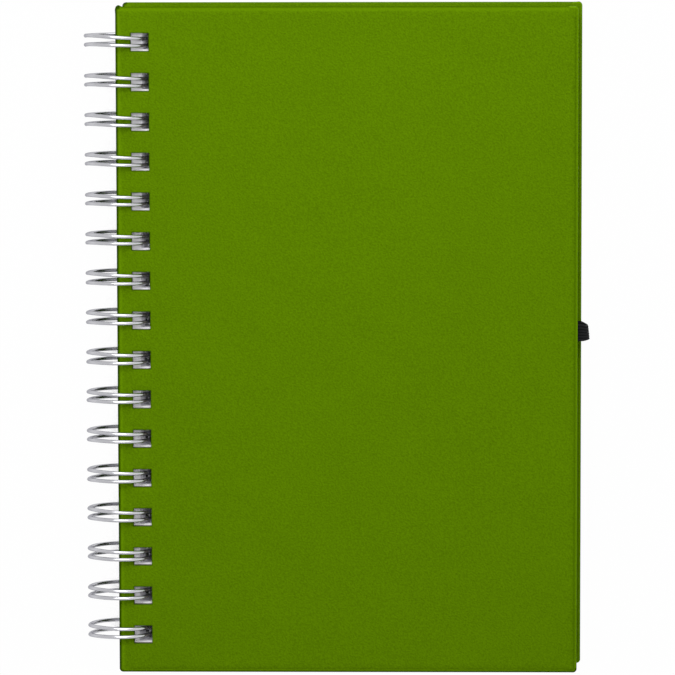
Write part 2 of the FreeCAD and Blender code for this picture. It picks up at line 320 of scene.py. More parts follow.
def new_group(name, inputs, outputs):
    """A shader node group with named sockets, as its tree, its inputs inside and its outputs inside."""
    tree = bpy.data.node_groups.new(name, "ShaderNodeTree")
    for label, kind, value in inputs:
        socket = tree.interface.new_socket(label, in_out="INPUT", socket_type=f"NodeSocket{kind}")
        if value is not None:
            socket.default_value = value
    for label, kind in outputs:
        tree.interface.new_socket(label, in_out="OUTPUT", socket_type=f"NodeSocket{kind}")
    return tree, tree.nodes.new("NodeGroupInput").outputs, tree.nodes.new("NodeGroupOutput").inputs


def place_group(tree, group, inputs):
    """The outputs of a group placed in a tree."""
    item = tree.nodes.new("ShaderNodeGroup")
    item.node_tree = group
    for name, value in inputs.items():
        feed(tree, item.inputs[name], value)
    return item.outputs


def cloudy_tone():
    """Two sizes of soft cloud that darken and lighten a colour."""
    tree, source, result = new_group(
        "cloudy tone",
        [
            ("Vector", "Vector", None),
            ("Colour", "Color", (0.5, 0.5, 0.5, 1.0)),
            ("Small Scale", "Float", 500.0),
            ("Large Scale", "Float", 60.0),
            ("Small Amount", "Float", 0.05),
            ("Large Amount", "Float", 0.05),
        ],
        [("Colour", "Color"), ("Cloud", "Float")],
    )
    total = 1.0
    for size in ("Small", "Large"):
        noise = {"Vector": source["Vector"], "Scale": source[f"{size} Scale"], "Detail": 3.0}
        cloud = add(tree, "ShaderNodeTexNoise", {**noise, "Roughness": 0.55}).outputs["Fac"]
        swing = math_node(tree, "MULTIPLY_ADD", cloud, 2.0, -1.0)
        total = math_node(tree, "ADD", total, times(tree, swing, source[f"{size} Amount"]))
    scaled = add(tree, "ShaderNodeVectorMath", {0: source["Colour"], "Scale": total}, operation="SCALE")
    tree.links.new(scaled.outputs[0], result["Colour"])
    tree.links.new(total, result["Cloud"])
    return tree


def pebble_grain():
    """Small rounded pebbles with creases between them, roughened by a finer noise, as a height."""
    tree, source, result = new_group(
        "pebble grain",
        [("Vector", "Vector", None), ("Scale", "Float", 1500.0), ("Fine Share", "Float", 0.4)],
        [("Height", "Float")],
    )
    warp_scale = times(tree, source["Scale"], 0.6)
    warp = add(tree, "ShaderNodeTexNoise", {"Vector": source["Vector"], "Scale": warp_scale})
    spread = add(tree, "ShaderNodeVectorMath", {0: warp.outputs["Color"], "Scale": 0.0004}, operation="SCALE")
    moved = add(tree, "ShaderNodeVectorMath", {0: source["Vector"], 1: spread.outputs[0]}, operation="ADD")
    rounded = {"Vector": moved.outputs[0], "Scale": source["Scale"], "Smoothness": 0.6}
    cells = add(tree, "ShaderNodeTexVoronoi", rounded, feature="SMOOTH_F1")
    fine_scale = times(tree, source["Scale"], 2.3)
    fine = add(tree, "ShaderNodeTexNoise", {"Vector": source["Vector"], "Scale": fine_scale, "Detail": 2.0})
    pebble = math_node(tree, "SUBTRACT", 1.0, cells.outputs["Distance"])
    height = math_node(tree, "MULTIPLY_ADD", fine.outputs["Fac"], source["Fine Share"], pebble)
    tree.links.new(height, result["Height"])
    return tree


def paper_fibres():
    """Short crossing fibres as a height and a sparse mask of darker flecks."""
    tree, source, result = new_group(
        "paper fibres",
        [("Vector", "Vector", None), ("Scale", "Float", 900.0), ("Fleck Level", "Float", 0.68)],
        [("Height", "Float"), ("Flecks", "Float")],
    )
    layers = []
    for turn in (0.4, 1.9):
        drawn_out = {"Vector": source["Vector"], "Rotation": (0, 0, turn), "Scale": (1, 0.16, 1)}
        turned = add(tree, "ShaderNodeMapping", drawn_out).outputs[0]
        noise = add(tree, "ShaderNodeTexNoise", {"Vector": turned, "Scale": source["Scale"], "Detail": 3.0})
        layers.append(noise.outputs["Fac"])
    tree.links.new(math_node(tree, "MAXIMUM", *layers), result["Height"])
    spots = times(tree, *layers)
    level = times(tree, source["Fleck Level"], source["Fleck Level"])
    over = times(tree, math_node(tree, "SUBTRACT", spots, level), 12.0)
    tree.links.new(clamped(tree, over), result["Flecks"])
    return tree


CLOUDY_TONE = cloudy_tone()
PEBBLE_GRAIN = pebble_grain()
PAPER_FIBRES = paper_fibres()


def toned(tree, place, colour, small, large):
    """A colour with soft clouds in it; small and large each give a cloud's scale and amount."""
    values = {"Vector": place, "Colour": colour, "Small Scale": small[0], "Small Amount": small[1]}
    return place_group(tree, CLOUDY_TONE, {**values, "Large Scale": large[0], "Large Amount": large[1]})


def new_material(name, **constants):
    """A material with one shader and its constants, as itself, its tree, its shader and coordinates."""
    item = bpy.data.materials.new(name)
    item.use_nodes = True
    tree = item.node_tree
    tree.nodes.clear()
    shader = tree.nodes.new("ShaderNodeBsdfPrincipled")
    output = tree.nodes.new("ShaderNodeOutputMaterial")
    tree.links.new(shader.outputs[0], output.inputs["Surface"])
    for label, value in constants.items():
        shader.inputs[label.replace("_", " ")].default_value = value
    return item, tree, shader, tree.nodes.new("ShaderNodeTexCoord").outputs["Object"]


def bump(tree, shader, height, strength, depth):
    """Surface relief from a height of about 0 to 1; depth is in millimetres."""
    item = add(tree, "ShaderNodeBump", {"Height": height, "Strength": strength, "Distance": depth * MM})
    tree.links.new(item.outputs[0], shader.inputs["Normal"])


def leatherette():
    """Matt green leatherette: pebbled and cloudy, darker with painted shade at its edges and hole rims, paler
    with painted highlights on its edge crests.
    """
    item, tree, shader, place = new_material("leatherette", Specular_Tint=(0.45, 0.75, 0.02, 1.0))
    # the first share is painted shade at the edges, in the fore-edge groove and round the holes; the pale
    # share is painted highlight on the edge crests
    edge_shade = add(tree, "ShaderNodeAttribute", attribute_name="edge_shade").outputs["Fac"]
    pale = add(tree, "ShaderNodeAttribute", attribute_name="pale").outputs["Fac"]
    # the tone's grain is drawn out along faint diagonal creases
    turn = {"Vector": place, "Rotation": (0, 0, -0.6), "Scale": (1.5, 1, 1)}
    creased = add(tree, "ShaderNodeMapping", turn, vector_type="TEXTURE").outputs[0]
    tone = toned(tree, creased, GREEN, (2300.0, 0.5), (70.0, 0.06))["Colour"]
    # painted highlight on the crests, then painted shade at the edges, groove and hole rims
    highlighted = mix_colours(tree, pale, tone, HIGHLIGHT_GREEN)
    tree.links.new(mix_colours(tree, edge_shade, highlighted, EDGE_SHADE_GREEN), shader.inputs["Base Color"])
    grain = place_group(tree, PEBBLE_GRAIN, {"Vector": place, "Scale": 1500.0, "Fine Share": 0.5})["Height"]
    rough = math_node(tree, "MULTIPLY_ADD", grain, -0.12, 0.74)
    tree.links.new(math_node(tree, "MULTIPLY_ADD", edge_shade, -0.1, rough), shader.inputs["Roughness"])
    shine = math_node(tree, "MULTIPLY_ADD", edge_shade, -0.25, 0.06)
    tree.links.new(math_node(tree, "MAXIMUM", shine, 0.0), shader.inputs["Specular IOR Level"])
    bump(tree, shader, grain, 0.8, 0.1)
    return item


def leaf_paper():
    """White leaves: fibres and pale rules on the faces, and a line between leaf and leaf on the edges."""
    item, tree, shader, place = new_material("leaf_paper", Roughness=0.85, Specular_IOR_Level=0.25)
    fibres = place_group(tree, PAPER_FIBRES, {"Vector": place, "Scale": 1100.0, "Fleck Level": 0.7})
    tone = toned(tree, place, PAPER, (900.0, 0.03), (30.0, 0.02))["Colour"]
    spots = parts_of(tree, place)
    phase = math_node(tree, "FRACT", times(tree, spots["Y"], 1 / (RULE_STEP * MM)))
    line = math_node(tree, "LESS_THAN", phase, 0.035)
    facing = parts_of(tree, tree.nodes.new("ShaderNodeNewGeometry").outputs["True Normal"])
    flat = math_node(tree, "GREATER_THAN", math_node(tree, "ABSOLUTE", facing["Z"]), 0.98)
    past_holes = math_node(tree, "GREATER_THAN", spots["X"], RULE_START * MM)
    strength = times(tree, past_holes, 0.7)
    rule = times(tree, times(tree, line, flat), strength)
    layer = add(tree, "ShaderNodeAttribute", attribute_name="layer").outputs["Fac"]
    stripe = math_node(tree, "MULTIPLY_ADD", math_node(tree, "PINGPONG", layer, 0.5), -1.6, 0.9)
    shade = times(tree, math_node(tree, "SUBTRACT", 1.0, flat), stripe)
    edge = mix_colours(tree, clamped(tree, shade), tone, PAPER_EDGE)
    ruled = mix_colours(tree, rule, edge, RULE_GREY)
    flecked = mix_colours(tree, times(tree, fibres["Flecks"], 0.15), ruled, PAPER_EDGE)
    tree.links.new(flecked, shader.inputs["Base Color"])
    bump(tree, shader, fibres["Height"], 0.25, 0.03)
    return item


def lining_paper():
    """The pasted-down endpaper: off-white with faint fibres and a slight ripple of the paste behind it."""
    item, tree, shader, place = new_material("lining_paper", Roughness=0.8, Specular_IOR_Level=0.25)
    fibres = place_group(tree, PAPER_FIBRES, {"Vector": place, "Scale": 800.0, "Fleck Level": 0.64})
    tone = toned(tree, place, LINING, (700.0, 0.04), (25.0, 0.03))
    flecks = times(tree, fibres["Flecks"], 0.25)
    tree.links.new(mix_colours(tree, flecks, tone["Colour"], BOARD_GREY), shader.inputs["Base Color"])
    height = math_node(tree, "MULTIPLY_ADD", tone["Cloud"], 2.0, fibres["Height"])
    bump(tree, shader, height, 0.3, 0.04)
    return item


def greyboard():
    """Pressed grey board, seen where the holes cut through it: layered, fibrous and flecked."""
    item, tree, shader, place = new_material("greyboard", Roughness=0.92, Specular_IOR_Level=0.2)
    fibres = place_group(tree, PAPER_FIBRES, {"Vector": place, "Scale": 1400.0, "Fleck Level": 0.58})
    layers = add(tree, "ShaderNodeMapping", {"Vector": place, "Scale": (1, 1, 9)}).outputs[0]
    tone = toned(tree, layers, BOARD_GREY, (600.0, 0.2), (90.0, 0.1))["Colour"]
    flecks = times(tree, fibres["Flecks"], 0.6)
    tree.links.new(mix_colours(tree, flecks, tone, BOARD_DARK), shader.inputs["Base Color"])
    bump(tree, shader, fibres["Height"], 0.6, 0.08)
    return item


def bright_wire():
    """Bright drawn wire: fine lines along its length and duller patches where the loops were pressed."""
    tint = (0.55, 0.55, 0.58, 1.0)
    item, tree, shader, place = new_material("bright_wire", Metallic=1.0, Specular_Tint=tint)
    run = add(tree, "ShaderNodeAttribute", attribute_name="run").outputs["Vector"]
    drawing = {"Vector": run, "Scale": 3.0, "Detail": 4.0, "Roughness": 0.6}
    lines = add(tree, "ShaderNodeTexNoise", drawing).outputs["Fac"]
    patches = toned(tree, place, STEEL, (600.0, 0.04), (120.0, 0.06))["Colour"]
    drawn = times(tree, lines, 0.35)
    tree.links.new(mix_colours(tree, drawn, patches, STEEL_DULL), shader.inputs["Base Color"])
    tree.links.new(math_node(tree, "MULTIPLY_ADD", lines, 0.16, 0.12), shader.inputs["Roughness"])
    bump(tree, shader, lines, 0.12, 0.02)
    return item


def woven_elastic():
    """Black ribbed elastic: covered rubber ribs with fine cross threads and a little dust on their crests."""
    sheen = {"Specular_IOR_Level": 0.15, "Sheen_Weight": 0.04, "Sheen_Roughness": 0.4}
    item, tree, shader, place = new_material("woven_elastic", Roughness=0.85, **sheen)
    weave = parts_of(tree, add(tree, "ShaderNodeAttribute", attribute_name="weave").outputs["Vector"])
    threads = math_node(tree, "SINE", times(tree, weave["X"], 2 * math.pi / THREAD_STEP))
    lift = math_node(tree, "MULTIPLY_ADD", threads, 0.5, 0.5)
    fuzz = add(tree, "ShaderNodeTexNoise", {"Vector": place, "Scale": 2600.0, "Detail": 3.0}).outputs["Fac"]
    raised = math_node(tree, "POWER", weave["Z"], 4.0)
    crest = times(tree, raised, math_node(tree, "MULTIPLY_ADD", fuzz, 0.4, 0.2))
    tree.links.new(mix_colours(tree, crest, ELASTIC, ELASTIC_DUST), shader.inputs["Base Color"])
    bump(tree, shader, math_node(tree, "MULTIPLY_ADD", fuzz, 0.6, lift), 0.7, 0.06)
    return item


LEATHERETTE = leatherette()
LEAF_PAPER = leaf_paper()
LINING_PAPER = lining_paper()
GREYBOARD = greyboard()
BRIGHT_WIRE = bright_wire()
WOVEN_ELASTIC = woven_elastic()


# Pieces


def hole_middles(rise):
    """Middles of the holes along the spine, from the middle of the piece's own height."""
    return (np.arange(HOLE_COUNT) - ROW_MIDDLE) * HOLE_PITCH + rise


def hole_lines(rise, near):
    """Grid lines for the holes: each edge, and lines a little outside it, across and along the spine."""
    across = [HOLE_MARGIN, HOLE_MARGIN + HOLE_SIZE]
    along = [[middle - HOLE_SIZE / 2, middle + HOLE_SIZE / 2] for middle in hole_middles(rise)]
    across_all = [across[0] - d for d in near] + across + [across[1] + d for d in near]
    along_all = [[a - d for d in near] + [a, b] + [b + d for d in near] for a, b in along]
    return across_all, [value for part in along_all for value in part]


def hole_distance(x, y, rise):
    """Distance outside the nearest hole's square outline, 0 within it."""
    middle = np.round((y - rise) / HOLE_PITCH + ROW_MIDDLE)
    middle = (np.clip(middle, 0, HOLE_COUNT - 1) - ROW_MIDDLE) * HOLE_PITCH + rise
    dx = np.maximum(np.abs(x - HOLE_MARGIN - HOLE_SIZE / 2) - HOLE_SIZE / 2, 0)
    dy = np.maximum(np.abs(y - middle) - HOLE_SIZE / 2, 0)
    return np.hypot(dx, dy)


def cells_outside(x, y, rise):
    """Mask of the grid's cells that lie outside the holes, by the middles of the cells."""
    middle_x, middle_y = np.meshgrid((x[1:] + x[:-1]) / 2, (y[1:] + y[:-1]) / 2, indexing="ij")
    return hole_distance(middle_x, middle_y, rise) > 0, middle_x, middle_y


def round_corners(x, y, inset):
    """Grid points moved so that the outline's square corners become arcs.

    Inside a corner's square the shares p and q of the way out from the arc's centre become
    p * sqrt(1 - q * q / 2) and q * sqrt(1 - p * p / 2), which fills a quarter of a disc."""
    reach = CORNER_RADIUS - inset
    u, v = x - HALF_WIDTH, y
    p = np.maximum(np.abs(u) - (HALF_WIDTH - CORNER_RADIUS), 0) / reach
    q = np.maximum(np.abs(v) - (HALF_HEIGHT - CORNER_RADIUS), 0) / reach
    du = reach * (p * np.sqrt(1 - np.minimum(q, 1) ** 2 / 2) - p) * np.sign(u)
    dv = reach * (q * np.sqrt(1 - np.minimum(p, 1) ** 2 / 2) - q) * np.sign(v)
    return x + du, y + dv


def outline_frame(x, y):
    """Distance of points inside the rounded outline, and the outward direction at each."""
    u, v = x - HALF_WIDTH, y
    core_u = np.clip(u, CORNER_RADIUS - HALF_WIDTH, HALF_WIDTH - CORNER_RADIUS)
    core_v = np.clip(v, CORNER_RADIUS - HALF_HEIGHT, HALF_HEIGHT - CORNER_RADIUS)
    out = np.hypot(u - core_u, v - core_v)
    straight = np.minimum(HALF_WIDTH - np.abs(u), HALF_HEIGHT - np.abs(v))
    distance = np.where(out > 0, CORNER_RADIUS - out, straight)
    length = np.maximum(out, 1e-9)
    return distance, (u - core_u) / length, (v - core_v) / length


def from_edges(x, y):
    """Distances of points from the nearer side edge and from the nearer end edge."""
    return HALF_WIDTH - np.abs(x - HALF_WIDTH), HALF_HEIGHT - np.abs(y)


def corner_ears(x, y, ears):
    """How far the folded corners bulge, by each corner's size: a peak there less a hollow round it."""
    away = np.hypot(*from_edges(x, y))
    size = np.asarray(ears)[(y > 0).astype(int), (x > HALF_WIDTH).astype(int)]
    return size * (form(away, EAR_PEAK) - form(away, EAR_HOLLOW))


def mitre_depth(x, y):
    """The diagonal creases at the corners of the turned-in edges: a bell of the distance from the diagonal,
    fading in past the corner and out at the lining's window."""
    a, b = from_edges(x, y)
    length = (a + b) / 2
    ends = np.clip((length - 0.9) / 0.5, 0, 1) * np.clip((TURN_IN + 0.4 - length) / 0.4, 0, 1)
    return MITRE_DEPTH * bell((a - b) / math.sqrt(2), MITRE_WIDTH) * ends


def border_loop(rows, columns):
    """Numbers of a grid's outer points, once round."""
    index = np.arange(rows * columns).reshape(rows, columns)
    return np.concatenate([index[:-1, 0], index[-1, :-1], index[:0:-1, -1], index[0, :0:-1]])


def cover_grid(top, rise, ears, turned_over):
    """One face of a cover's skin, as its points, its faces and the numbers of its border's points.

    The outer face is a grid of lines across and along the cover, left out in the holes. Its height is the
    board's plus a slight swell, less a soft fall and a narrow groove by the distance to the outline, and a
    small dip round each hole. The face behind is the grid of the turned-in edges, without the window that
    the lining closes and the slot of the pen loop's tongue."""
    inset = TOP_ROUNDING if top else FOLD_ROUNDING
    hole_x, hole_y = hole_lines(rise, HOLE_LINES)
    slot_x = [COVER_WIDTH - TONGUE_LENGTH, COVER_WIDTH - TONGUE_START]
    slot_y = [-LOOP_RISE - LOOP_WIDTH / 2, -LOOP_RISE + LOOP_WIDTH / 2]
    lines = [*EDGE_LINES, *np.arange(MITRE_START, TURN_IN, MITRE_STEP), inset]
    x = fill_lines(lines + [COVER_WIDTH - d for d in lines] + hole_x + slot_x, GRID_STEP)
    ends = [HALF_HEIGHT - d for d in lines] + [d - HALF_HEIGHT for d in lines]
    y = fill_lines(ends + hole_y + slot_y, GRID_STEP)
    keep, middle_x, middle_y = cells_outside(x, y, rise)
    quads = lattice(len(x), len(y))
    gx, gy = round_corners(*np.meshgrid(x, y, indexing="ij"), inset)
    distance, _, _ = outline_frame(gx, gy)
    ear = corner_ears(gx, gy, ears)
    if top:
        dip = form(hole_distance(gx, gy, rise), HOLE_DIP)
        swell = FACE_SWELL * np.sin(gx / 17.0 + 0.6) * np.sin(gy / 23.0) * np.clip(distance / 8, 0, 1)
        fall = form(distance, EDGE_FALL) + form(distance, EDGE_GROOVE)
        gz = WRAP_DEPTH + FACE_RISE - fall - dip + swell + EAR_LIFT * ear
    else:
        side, end = from_edges(middle_x, middle_y)
        keep &= (side < TURN_IN) | (end < TURN_IN)
        if turned_over:
            in_slot = (middle_x > slot_x[0]) & (middle_x < slot_x[1])
            in_slot &= (middle_y > slot_y[0]) & (middle_y < slot_y[1])
            keep &= ~in_slot
        quads = quads[:, ::-1]
        gz = form(distance, FOLD_BOW) - EAR_TUCK * ear + mitre_depth(gx, gy)
    return np.stack([gx, gy, gz], -1).reshape(-1, 3), quads[keep.ravel()], border_loop(len(x), len(y))


def rounded_sides(start, fold_z, ears):
    """Rows of points from the outer face's border out and down round a quarter circle, down the side, and
    in round a second one to the turned-in edge, with the direction into the skin at each."""
    _, nx, ny = outline_frame(start[:, 0], start[:, 1])
    # the straight edges have no arc to point from, so their direction is the side that they lie on
    flat = np.hypot(nx, ny) < 0.5
    side, end = from_edges(start[:, 0], start[:, 1])
    nx = np.where(flat, np.where(side < end, np.sign(start[:, 0] - HALF_WIDTH), 0), nx)
    ny = np.where(flat, np.where(side < end, 0, np.sign(start[:, 1])), ny)
    bulge = corner_ears(start[:, 0], start[:, 1], ears)
    rows, inward = [], []
    for turn in np.linspace(0, math.pi / 2, 7)[1:]:
        out, down = math.sin(turn), 1 - math.cos(turn)
        x = start[:, 0] + nx * (TOP_ROUNDING + EAR_SIDE * bulge) * out
        y = start[:, 1] + ny * (TOP_ROUNDING + bulge) * out
        rows.append(np.stack([x, y, start[:, 2] - TOP_ROUNDING * down], -1))
        inward.append(np.stack([-nx * out, -ny * out, np.full(len(nx), down - 1)], -1))
    outline = rows[-1]
    for turn in np.linspace(0, math.pi / 2, 6)[:-1]:
        back, down = 1 - math.cos(turn), math.sin(turn)
        x = outline[:, 0] - nx * (FOLD_ROUNDING + EAR_SIDE * bulge) * back
        y = outline[:, 1] - ny * (FOLD_ROUNDING + bulge) * back
        rows.append(np.stack([x, y, fold_z + FOLD_ROUNDING * (1 - down)], -1))
        inward.append(np.stack([nx * (back - 1), ny * (back - 1), np.full(len(nx), down)], -1))
    return rows, inward


def skin_tones(points, rise, turned_over):
    """Shares of painted edge shade and of painted highlight at the skin's points, by their distance to
    outline and holes.
    """
    x, y = points[:, 0], points[:, 1]
    distance, _, _ = outline_frame(x, y)
    by_spine, by_fore = x < 1.5, x > COVER_WIDTH - 3
    by_foot, by_head = (y < 1.5 - HALF_HEIGHT) & (not turned_over), y > HALF_HEIGHT - 3
    # painted shade: darker at the very edge, most along the spine and the foot
    edge_shade_strength = np.where(by_spine | by_foot, 1.0, np.where(by_fore | (y < 3 - HALF_HEIGHT), 0.0, 0.35))
    width = np.where(by_spine, 0.72, np.where(by_foot, 0.5, 0.4))
    edge_shade = edge_shade_strength * np.exp(-((np.maximum(distance, 0) / width) ** 4))
    # painted shade round each hole
    edge_shade = np.maximum(edge_shade, 0.9 * bell(hole_distance(x, y, rise), 0.14))
    # painted shade: a groove inside the fore edge; painted highlights: its crest, and bands further in at
    # spine and head
    groove = 0.05 if turned_over else 0.3
    edge_shade = np.maximum(edge_shade, groove * by_fore * bell(distance - 0.9, 0.3))
    crest = np.where(by_head, 0.8, 1.15)
    inner_highlight = 0.45 * ((x < 3) | by_head) * bell(distance - crest, 0.55)
    return edge_shade, np.maximum(0.9 * by_fore * bell(distance - 0.2, 0.25), inner_highlight)


def cover_skin(name, node, body, rise, ears, turned_over):
    """The leatherette over one board, a closed shell as thick as the skin: the outer face, the rounded
    sides and the turned-in edges, and behind them the same again, which lies on the board."""
    top_points, top_faces, top_loop = cover_grid(True, rise, ears, turned_over)
    fold_points, fold_faces, fold_loop = cover_grid(False, rise, ears, turned_over)
    rows, inward = rounded_sides(top_points[top_loop], fold_points[fold_loop][:, 2], ears)
    points = np.concatenate([top_points, *rows, fold_points])
    first, count = len(top_points), len(top_loop)
    fold_first = first + len(rows) * count
    rings = [top_loop] + [first + i * count + np.arange(count) for i in range(len(rows))]
    rings.append(fold_first + fold_loop)
    sides = [
        np.stack([upper, lower, np.roll(lower, -1), np.roll(upper, -1)], -1)
        for upper, lower in zip(rings, rings[1:])
    ]
    quads = np.concatenate([top_faces, *sides, fold_faces + fold_first])
    push = np.zeros_like(points)
    push[:first, 2] = -np.maximum(top_points[:, 2] - (WRAP_DEPTH - SKIN_THICKNESS), 0.12) / SKIN_THICKNESS
    push[first:fold_first] = np.concatenate(inward)
    push[fold_first:, 2] = 1
    shell, shell_faces = closed_shell(points, quads, points + push * SKIN_THICKNESS)
    edge_shade, pale = skin_tones(points, rise, turned_over)
    # painted shade and painted highlight at the skin's points; its back, on the board, is painted shade
    # throughout
    tones = {
        "edge_shade": np.concatenate([edge_shade, np.ones(len(points))]),
        "pale": np.concatenate([pale, np.zeros(len(points))]),
    }
    low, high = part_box(node)
    middle = (low.y + high.y) / 2 / MM
    base, turn = (high.z, -1) if turned_over else (low.z, 1)
    shell = np.array([low.x / MM, middle, base / MM]) + shell * (1, turn, turn)
    piece = make_piece(name, shell, [shell_faces], LEATHERETTE, sharp_angle=50, attributes=tones)
    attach(piece, body)
    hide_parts(node)
    return piece


def leaf_stack():
    """The leaves as one closed pile whose cut edges and hole walls show every leaf.

    Top and bottom are the same grid with the holes left out. Between them each leaf is a pair of outlines
    at its own height, shifted a little from its neighbours. The pile's underside rises to the seam's gap
    at the spine. A leaf lies further out by most of what the rings reach at its height beyond their reach
    at the pile's top, and the upper leaves are slewed more than the lower ones."""
    hole_x, hole_y = hole_lines(ROW_RISE, ())
    ramp_end = RISE_FLAT + RISE_RAMP
    x = fill_lines(hole_x + [0, RISE_FLAT, ramp_end, PAGE_WIDTH], 2.0)
    x = np.concatenate([x[x <= ramp_end], fill_lines([ramp_end, PAGE_WIDTH], 20.0)[1:]])
    y = np.unique(np.round(hole_y + [-PAGE_HEIGHT / 2, PAGE_HEIGHT / 2], 4))
    keep, _, _ = cells_outside(x, y, ROW_RISE)
    quads = lattice(len(x), len(y))[keep.ravel()]
    gx, gy = (part.ravel() for part in np.meshgrid(x, y, indexing="ij"))
    share = np.clip((gx - RISE_FLAT) / RISE_RAMP, 0, 1)
    rise = SEAM_GAP * (1 - smooth(share))
    edges = free_edges(quads)
    chance = np.random.default_rng(11)
    drift = LEAF_DRIFT * np.sin(np.linspace(0, 7, LEAF_COUNT))
    shift_x = drift + chance.uniform(-LEAF_JITTER[0], LEAF_JITTER[0], LEAF_COUNT)
    shift_y = chance.uniform(-LEAF_JITTER[1], LEAF_JITTER[1], LEAF_COUNT)
    top_reach = math.sqrt(RING_RADIUS**2 - PAGE_THICKNESS**2 / 4)
    levels, layers = [], []
    for leaf in range(LEAF_COUNT):
        for part in (0.0, LEAF_SHARE):
            t = (leaf + part) / (LEAF_COUNT - 1 + LEAF_SHARE)
            z = rise + t * (PAGE_THICKNESS - rise)
            height = (t - 0.5) * PAGE_THICKNESS
            follow = LEAF_FOLLOW * (math.sqrt(RING_RADIUS**2 - height**2) - top_reach)
            slew = (0.3 + 0.7 * t) * LEAF_SLEW * gy / PAGE_HEIGHT
            shifted_x = gx + follow + slew - LEAF_DRAW + shift_x[leaf]
            levels.append(np.stack([shifted_x, gy + shift_y[leaf], z], -1))
            layers.append(np.full(len(gx), leaf + (0.5 if part else 0.0)))
    count = len(gx)
    steps = np.arange(len(levels) - 1)[:, None, None] * count
    a, b = edges[None, :, :1], edges[None, :, 1:]
    walls = np.concatenate([a + steps, b + steps, b + steps + count, a + steps + count], -1).reshape(-1, 4)
    top = quads + (len(levels) - 1) * count
    points = np.concatenate(levels)
    low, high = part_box("page_block")
    points += np.array([low.x, (low.y + high.y) / 2, low.z]) / MM
    faces = [quads[:, ::-1], walls, top]
    layer = {"layer": np.concatenate(layers)}
    piece = make_piece("leaf_pile", points, faces, LEAF_PAPER, sharp_angle=35, attributes=layer)
    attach(piece, "book")
    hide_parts("page_block")
    return piece


def tube(path, normals, radius, sides):
    """A round wire's surface: a circle of points about each point of the path, in the plane of its normal
    and of the normal's cross product with the direction of travel, with rounded-off ends closed on a
    point."""
    travel = np.gradient(path, axis=0)
    travel /= np.linalg.norm(travel, axis=1, keepdims=True)
    normals = normals - (normals * travel).sum(1, keepdims=True) * travel
    normals /= np.linalg.norm(normals, axis=1, keepdims=True)
    across = np.cross(travel, normals)
    turn = 2 * np.pi * np.arange(sides) / sides
    ring = normals[:, None] * np.cos(turn)[None, :, None] + across[:, None] * np.sin(turn)[None, :, None]
    points = (path[:, None] + radius * ring).reshape(-1, 3)
    length = np.concatenate([[0], np.cumsum(np.linalg.norm(np.diff(path, axis=0), axis=1))])
    round_x, round_y = np.tile(np.cos(turn), len(path)), np.tile(np.sin(turn), len(path))
    run = np.stack([np.repeat(length, sides) * 0.06, round_x, round_y], -1)
    last = len(path) - 1
    caps = np.stack([path[0] - travel[0] * radius * 0.15, path[-1] + travel[-1] * radius * 0.15])
    first_pole, last_pole = len(points), len(points) + 1
    ring_index = np.arange(sides)
    start_fan = np.stack([np.roll(ring_index, -1), ring_index, np.full(sides, first_pole)], -1)
    end_ring = last * sides + ring_index
    end_fan = np.stack([end_ring, np.roll(end_ring, -1), np.full(sides, last_pole)], -1)
    walls = lattice(len(path), sides, loop_columns=True)[:, ::-1]
    run = np.concatenate([run, [[0, 0, 0], [length[-1] * 0.06, 0, 0]]])
    return np.concatenate([points, caps]), [walls, start_fan, end_fan], run


def radial(angles):
    """The directions straight out from the rings' axis at these angles."""
    return np.stack([np.cos(angles), np.zeros_like(angles), np.sin(angles)], -1)


